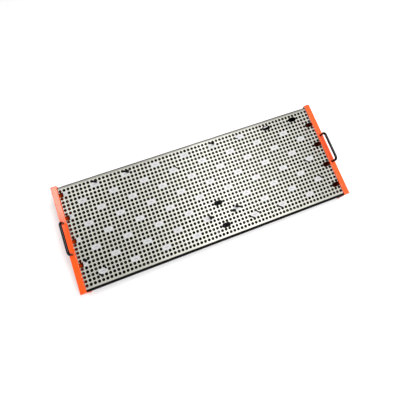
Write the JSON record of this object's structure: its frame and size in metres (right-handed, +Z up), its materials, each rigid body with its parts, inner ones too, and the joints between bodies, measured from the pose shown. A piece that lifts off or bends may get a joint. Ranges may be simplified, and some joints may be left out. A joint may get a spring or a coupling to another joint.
{
  "type": "pedalboard",
  "caption": "Long wedge-shaped pedalboard: perforated deck hinged at the rear over a black tray, orange end panels with bow handles",
  "frame": {"origin": "on the floor under the middle of the board, at the underside of the feet", "axes": "+X along the length to the player's right, +Y to the hinged rear, +Z up"},
  "size_m": [0.9, 0.334, 0.1113],
  "materials": {
    "orange_lacquer": "satin lacquer over birch plywood",
    "dark_chrome": "polished dark nickel",
    "zinc": "bright zinc plate",
    "black_coat": "black powder coat",
    "warm_grey_coat": "warm grey powder coat",
    "black_rubber": "matt black rubber",
    "black_plastic": "black nylon",
    "pale_plastic": "pale matt plastic"
  },
  "bodies": {
    "base": {"side_panel_left": "orange_lacquer", "side_panel_right": "orange_lacquer", "handle_left": "dark_chrome", "handle_right": "dark_chrome", "handle_bolts": "zinc", "handle_washers": "zinc", "tray": "black_coat", "rear_wall": "black_coat", "rear_wall_rivets": "zinc", "front_edge_trim": "black_rubber", "front_rest": "black_coat", "rest_foam": "black_rubber", "rubber_feet": "black_rubber", "foot_screws": "zinc", "foot_nuts": "zinc", "panel_screws": "zinc", "cable_grommets": "black_rubber", "deck_posts": "black_coat", "post_pads": "black_rubber", "catch_magnets": "black_plastic", "hinge_base_leaf": "black_coat", "hinge_pin": "black_coat", "hinge_base_rivets": "zinc", "stay_bracket_left": "black_coat", "stay_bracket_right": "black_coat", "stay_pivot_left": "zinc", "stay_pivot_right": "zinc", "bracket_bolts": "zinc"},
    "deck": {"deck": "warm_grey_coat", "deck_ribs": "black_coat", "port_covers": "pale_plastic", "cable_ties": "black_plastic", "catch_strikes": "zinc", "hinge_deck_leaf": "black_coat", "hinge_deck_rivets": "zinc", "stay_rail_left": "black_coat", "stay_rail_right": "black_coat"},
    "arm_left": {"stay_arm_left": "black_coat", "stay_slide_pin_left": "zinc"},
    "arm_right": {"stay_arm_right": "black_coat", "stay_slide_pin_right": "zinc"}
  },
  "joints": [
    {"name": "deck_hinge", "type": "hinge", "parent": "base", "child": "deck", "pos_m": [0, 0.16487, 0.07711], "axis": [-1, 0, 0], "range_deg": [0, 60]},
    {"name": "arm_left_pivot", "type": "hinge", "parent": "base", "child": "arm_left", "pos_m": [0, 0.02586, 0.06046], "axis": [-1, 0, 0], "range_deg": [0, 120]},
    {"name": "arm_right_pivot", "type": "hinge", "parent": "base", "child": "arm_right", "pos_m": [0, 0.02586, 0.06046], "axis": [-1, 0, 0], "range_deg": [0, 120]}
  ],
  "couplings": [
    {"joint": "arm_left_pivot", "follows": "deck_hinge", "ratio": 2},
    {"joint": "arm_right_pivot", "follows": "deck_hinge", "ratio": 2}
  ]
}
